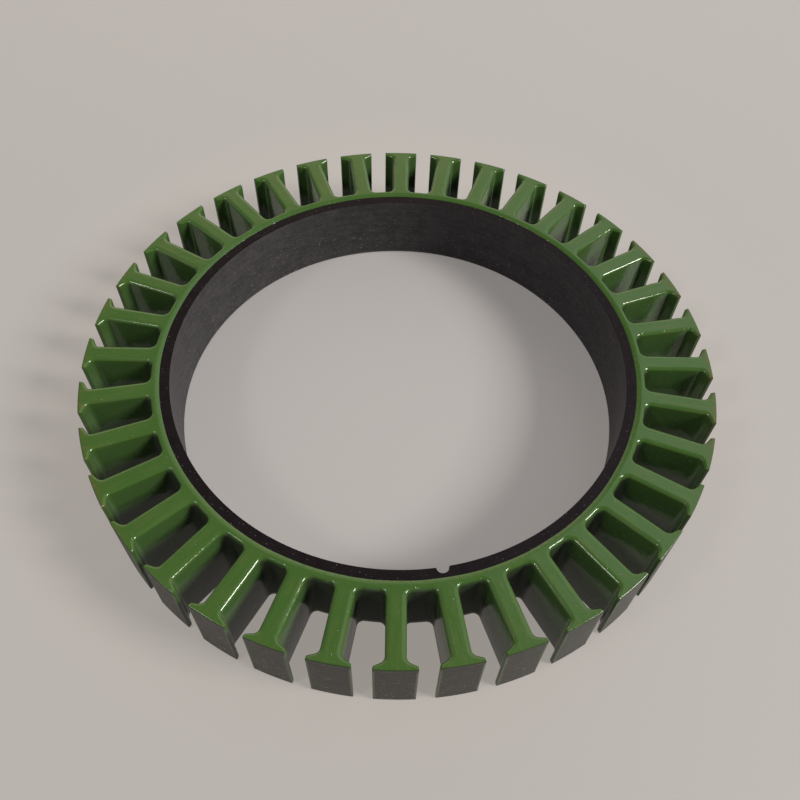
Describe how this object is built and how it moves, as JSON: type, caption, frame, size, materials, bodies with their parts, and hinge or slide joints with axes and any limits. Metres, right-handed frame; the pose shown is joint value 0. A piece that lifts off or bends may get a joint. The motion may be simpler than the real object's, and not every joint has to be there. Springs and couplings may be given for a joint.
{
  "type": "stator lamination stack",
  "caption": "Thin ring of stacked steel laminations with T-shaped teeth pointing outward, a plain bore with a half-round notch, and a glossy green epoxy coat over the end faces and slots.",
  "frame": {"origin": "centre of the ring's lower face, on the bore axis", "axes": "+Z along the bore axis, up from the lower face; -Y towards the notch in the bore; a tooth on each of +X, -X, +Y and -Y"},
  "size_m": [0.081, 0.081, 0.0105],
  "materials": {
    "bare_steel": "dark satin, as stamped and stacked",
    "green_epoxy": "gloss powder coat with rounded edges"
  },
  "bodies": {
    "root": {"lamination_core": "bare_steel", "epoxy_coat": "green_epoxy"}
  },
  "joints": []
}
